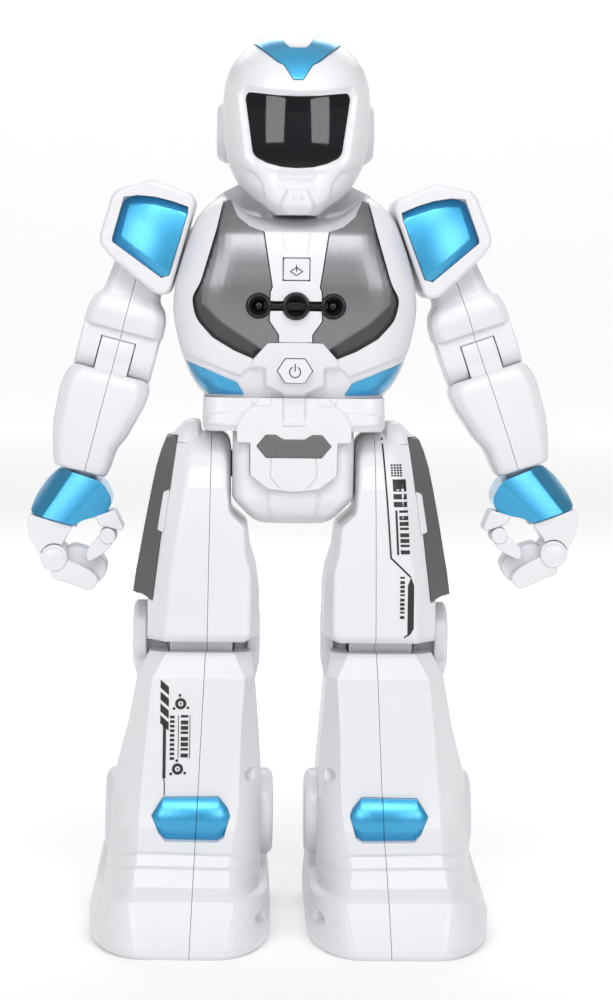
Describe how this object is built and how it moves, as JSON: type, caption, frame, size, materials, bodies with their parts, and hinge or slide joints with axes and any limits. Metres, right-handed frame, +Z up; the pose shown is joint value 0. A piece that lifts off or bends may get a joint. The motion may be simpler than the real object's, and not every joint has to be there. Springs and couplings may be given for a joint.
{
  "type": "toy robot",
  "caption": "Free-standing walking toy robot with hollow moulded shells, jointed arms with gripping hands, a turning head and wheeled feet driven by small motors.",
  "frame": {"origin": "centre of the robot's outer box at the height of the floor it stands on", "axes": "+Z up, -Y the way the robot faces, +X the robot's own left"},
  "size_m": [0.16, 0.092, 0.2595],
  "materials": {
    "white_shell": "semi-gloss moulded ABS",
    "blue_metallic": "metallic lacquer over plastic",
    "silver_metallic": "metallic lacquer over plastic",
    "dark_grey": "satin paint",
    "visor_black": "polished, near opaque",
    "sensor_black": "gloss",
    "circuit_board": "solder mask",
    "battery_wrap": "shrink film",
    "tyre_rubber": "matt",
    "inner_plastic": "unpainted nylon"
  },
  "bodies": {
    "body": {"torso_front_shell": "white_shell", "torso_rear_shell": "white_shell", "chest_plate_left": "silver_metallic", "chest_plate_right": "silver_metallic", "sternum_panel": "white_shell", "sensor_trio": "sensor_black", "side_insert_left": "blue_metallic", "side_insert_right": "blue_metallic", "main_board": "circuit_board", "battery_pack": "battery_wrap", "battery_cover": "white_shell", "waist_shell": "white_shell", "waist_badge": "dark_grey", "hip_block": "white_shell"},
    "head": {"head_front_shell": "white_shell", "head_rear_shell": "white_shell", "visor": "visor_black", "crest_insert": "blue_metallic", "eye_light_board": "circuit_board", "neck_post": "inner_plastic"},
    "mode_key": {"mode_button": "white_shell"},
    "power_key": {"power_button": "white_shell"},
    "arm_left": {"shoulder_cap_left": "white_shell", "shoulder_insert_left": "blue_metallic", "upper_arm_outer_left": "white_shell", "upper_arm_inner_left": "white_shell"},
    "forearm_left": {"forearm_outer_left": "white_shell", "forearm_inner_left": "white_shell"},
    "hand_left": {"hand_cuff_left": "blue_metallic", "hand_palm_left": "white_shell"},
    "finger_group_left": {"fingers_left": "white_shell"},
    "thumb_group_left": {"thumb_left": "white_shell"},
    "thigh_left": {"thigh_outer_left": "white_shell", "thigh_inner_left": "white_shell", "thigh_panel_left": "dark_grey"},
    "shin_left": {"shin_outer_left": "white_shell", "shin_inner_left": "white_shell", "ankle_insert_left": "blue_metallic", "sole_plate_left": "dark_grey", "foot_motor_left": "inner_plastic"},
    "wheels_left": {"drive_wheels_left": "tyre_rubber"},
    "arm_right": {"shoulder_cap_right": "white_shell", "shoulder_insert_right": "blue_metallic", "upper_arm_outer_right": "white_shell", "upper_arm_inner_right": "white_shell"},
    "forearm_right": {"forearm_outer_right": "white_shell", "forearm_inner_right": "white_shell"},
    "hand_right": {"hand_cuff_right": "blue_metallic", "hand_palm_right": "white_shell"},
    "finger_group_right": {"fingers_right": "white_shell"},
    "thumb_group_right": {"thumb_right": "white_shell"},
    "thigh_right": {"thigh_outer_right": "white_shell", "thigh_inner_right": "white_shell", "thigh_panel_right": "dark_grey"},
    "shin_right": {"shin_outer_right": "white_shell", "shin_inner_right": "white_shell", "ankle_insert_right": "blue_metallic", "sole_plate_right": "dark_grey", "foot_motor_right": "inner_plastic"},
    "wheels_right": {"drive_wheels_right": "tyre_rubber"}
  },
  "joints": [
    {"name": "head_turn", "type": "hinge", "parent": "body", "child": "head", "pos_m": [-0.0032, 0.004, 0.206], "axis": [0, 0, 1], "range_deg": [-25, 25]},
    {"name": "mode_press", "type": "slide", "parent": "body", "child": "mode_key", "axis": [0, 1, 0], "range_m": [0, 0.0008], "stiffness_N_per_m": 600, "springref_m": -0.0006},
    {"name": "power_press", "type": "slide", "parent": "body", "child": "power_key", "axis": [0, 1, 0], "range_m": [0, 0.0008], "stiffness_N_per_m": 600, "springref_m": -0.0006},
    {"name": "shoulder_left", "type": "hinge", "parent": "body", "child": "arm_left", "pos_m": [0.0398, 0.004, 0.2], "axis": [-0.9455, 0, -0.3256], "range_deg": [-40, 120]},
    {"name": "elbow_left", "type": "hinge", "parent": "arm_left", "child": "forearm_left", "pos_m": [0.05097, 0.004, 0.16757], "axis": [-0.9455, 0, -0.3256], "range_deg": [0, 50]},
    {"name": "wrist_left", "type": "hinge", "parent": "forearm_left", "child": "hand_left", "pos_m": [0.06291, 0.004, 0.13287], "axis": [0.3256, 0, -0.9455], "range_deg": [-45, 45]},
    {"name": "fingers_left", "type": "hinge", "parent": "hand_left", "child": "finger_group_left", "pos_m": [0.07305, 0.004, 0.10897], "axis": [0, -1, 0], "range_deg": [-4, 50]},
    {"name": "thumb_left", "type": "hinge", "parent": "hand_left", "child": "thumb_group_left", "pos_m": [0.05722, 0.004, 0.11409], "axis": [0, 1, 0], "range_deg": [-3, 45]},
    {"name": "hip_left", "type": "hinge", "parent": "body", "child": "thigh_left", "pos_m": [0.0208, 0.004, 0.134], "axis": [-1, 0, 0], "range_deg": [-8, 8]},
    {"name": "knee_left", "type": "hinge", "parent": "thigh_left", "child": "shin_left", "pos_m": [0.0238, 0.004, 0.084], "axis": [-1, 0, 0], "range_deg": [-8, 8]},
    {"name": "wheel_spin_left", "type": "hinge", "parent": "shin_left", "child": "wheels_left", "pos_m": [0.0268, 0.018, 0.0065], "axis": [1, 0, 0], "continuous": true},
    {"name": "shoulder_right", "type": "hinge", "parent": "body", "child": "arm_right", "pos_m": [-0.0462, 0.004, 0.2], "axis": [-0.9686, 0, 0.2487], "range_deg": [-40, 120]},
    {"name": "elbow_right", "type": "hinge", "parent": "arm_right", "child": "forearm_right", "pos_m": [-0.05473, 0.004, 0.16678], "axis": [-0.9686, 0, 0.2487], "range_deg": [0, 50]},
    {"name": "wrist_right", "type": "hinge", "parent": "forearm_right", "child": "hand_right", "pos_m": [-0.06386, 0.004, 0.13123], "axis": [-0.2487, 0, -0.9686], "range_deg": [-45, 45]},
    {"name": "fingers_right", "type": "hinge", "parent": "hand_right", "child": "finger_group_right", "pos_m": [-0.07204, 0.004, 0.10659], "axis": [0, 1, 0], "range_deg": [-4, 50]},
    {"name": "thumb_right", "type": "hinge", "parent": "hand_right", "child": "thumb_group_right", "pos_m": [-0.05667, 0.004, 0.11297], "axis": [0, -1, 0], "range_deg": [-3, 45]},
    {"name": "hip_right", "type": "hinge", "parent": "body", "child": "thigh_right", "pos_m": [-0.0272, 0.004, 0.134], "axis": [-1, 0, 0], "range_deg": [-8, 8]},
    {"name": "knee_right", "type": "hinge", "parent": "thigh_right", "child": "shin_right", "pos_m": [-0.0302, 0.004, 0.084], "axis": [-1, 0, 0], "range_deg": [-8, 8]},
    {"name": "wheel_spin_right", "type": "hinge", "parent": "shin_right", "child": "wheels_right", "pos_m": [-0.0332, 0.018, 0.0065], "axis": [1, 0, 0], "continuous": true}
  ],
  "couplings": [
    {"joint": "hip_right", "follows": "hip_left", "ratio": -1},
    {"joint": "knee_left", "follows": "hip_left", "ratio": -1},
    {"joint": "knee_right", "follows": "hip_left", "ratio": 1}
  ]
}
